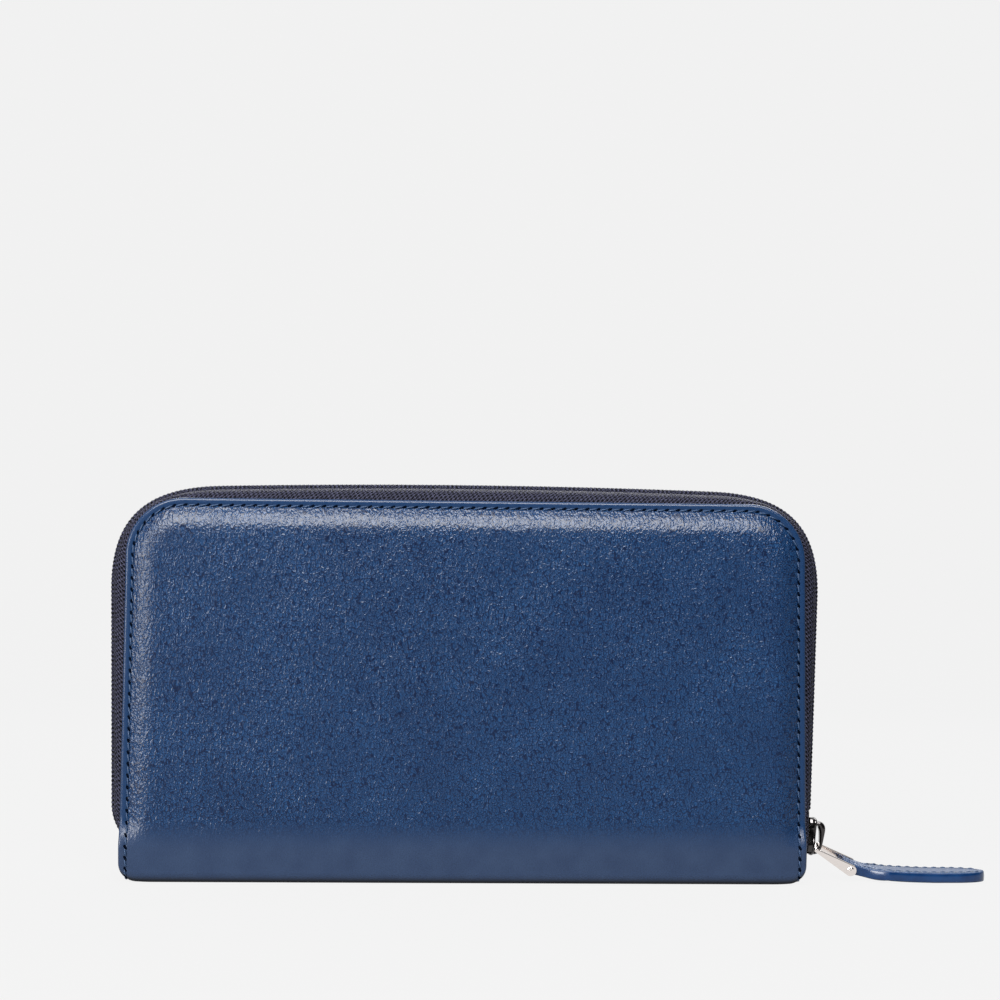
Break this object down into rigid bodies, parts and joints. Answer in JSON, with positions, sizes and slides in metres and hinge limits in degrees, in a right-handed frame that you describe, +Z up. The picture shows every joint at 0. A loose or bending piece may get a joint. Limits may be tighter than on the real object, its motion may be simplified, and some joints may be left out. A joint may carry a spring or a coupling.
{
  "type": "zip around wallet",
  "caption": "Long zip-around wallet in blue grained leather with padded covers, card pockets, a zipped coin pocket, side gussets and a metal slider whose clevis holds a stitched leather tongue",
  "frame": {"origin": "middle of the flat underside of the spine, on which the closed wallet stands", "axes": "X runs along the wallet toward the end where the zip closes, Y runs through its thickness from the front cover to the back cover, Z is up from the spine to the zip's top run"},
  "size_m": [0.2481, 0.025, 0.111],
  "materials": {
    "blue_leather": "fine boarded grain, satin",
    "tongue_leather": "fine grain with glossy painted edges",
    "foam": "soft wadding, hidden",
    "board": "thin card stiffener, hidden",
    "lining": "fine twill",
    "pocket_leather": "thin smooth leather",
    "zip_tape": "herringbone tape",
    "zip_coil": "satin nylon",
    "slider_metal": "bright nickel plate",
    "coin_zip_metal": "bright nickel plate"
  },
  "bodies": {
    "spine": {"spine_leather": "blue_leather", "spine_lining": "lining", "front_left_gusset": "lining", "front_right_gusset": "lining", "back_left_gusset": "lining", "back_right_gusset": "lining", "coin_front_wall": "pocket_leather", "coin_back_wall": "pocket_leather", "coin_top_band": "pocket_leather", "coin_lower_tape": "zip_tape", "coin_upper_tape": "zip_tape", "coin_lower_coil": "zip_coil", "coin_upper_coil": "zip_coil", "coin_zip_stops": "coin_zip_metal"},
    "front_cover": {"front_cover_leather": "blue_leather", "front_padding": "foam", "front_board": "board", "front_lining": "lining", "front_card_pocket_1": "pocket_leather", "front_card_pocket_2": "pocket_leather", "front_card_pocket_3": "pocket_leather", "front_card_pocket_4": "pocket_leather", "front_zip_tape": "zip_tape", "front_zip_coil": "zip_coil", "front_top_stop": "zip_coil", "front_bottom_stop": "zip_coil"},
    "back_cover": {"back_cover_leather": "blue_leather", "back_padding": "foam", "back_board": "board", "back_lining": "lining", "back_card_pocket_1": "pocket_leather", "back_card_pocket_2": "pocket_leather", "back_card_pocket_3": "pocket_leather", "back_card_pocket_4": "pocket_leather", "back_zip_tape": "zip_tape", "back_zip_coil": "zip_coil", "back_top_stop": "zip_coil", "back_bottom_stop": "zip_coil"},
    "zip_slider": {"slider_body": "slider_metal", "slider_bail": "slider_metal"},
    "clevis": {"pull_clevis": "slider_metal", "pull_rivet": "slider_metal"},
    "tongue": {"tongue_upper_leather": "tongue_leather", "tongue_lower_leather": "tongue_leather"},
    "coin_zip_slider": {"coin_slider": "coin_zip_metal"},
    "coin_zip_pull": {"coin_pull": "coin_zip_metal"}
  },
  "joints": [
    {"name": "front_cover_fold", "type": "hinge", "parent": "spine", "child": "front_cover", "pos_m": [0, -0.01175, 0.00075], "axis": [1, 0, 0], "range_deg": [0, 25]},
    {"name": "back_cover_fold", "type": "hinge", "parent": "spine", "child": "back_cover", "pos_m": [0, 0.01175, 0.00075], "axis": [-1, 0, 0], "range_deg": [0, 25]},
    {"name": "slider_travel", "type": "slide", "parent": "back_cover", "child": "zip_slider", "axis": [0.0349, 0, 0.9994], "range_m": [0, 0.062]},
    {"name": "pull_swing", "type": "hinge", "parent": "zip_slider", "child": "clevis", "pos_m": [0.09973, 0, 0.00936], "axis": [-0.1357, -0.9613, -0.2399], "range_deg": [0, 55]},
    {"name": "tongue_pivot", "type": "hinge", "parent": "clevis", "child": "tongue", "pos_m": [0.10956, 0, 0.0038], "axis": [-0.1357, -0.9613, -0.2399], "range_deg": [0, 30]},
    {"name": "coin_slider_travel", "type": "slide", "parent": "spine", "child": "coin_zip_slider", "axis": [-1, 0, 0], "range_m": [0, 0.115]},
    {"name": "coin_pull_swing", "type": "hinge", "parent": "coin_zip_slider", "child": "coin_zip_pull", "pos_m": [0.062, -0.00315, 0.0755], "axis": [0, 0, 1], "range_deg": [0, 8]}
  ]
}
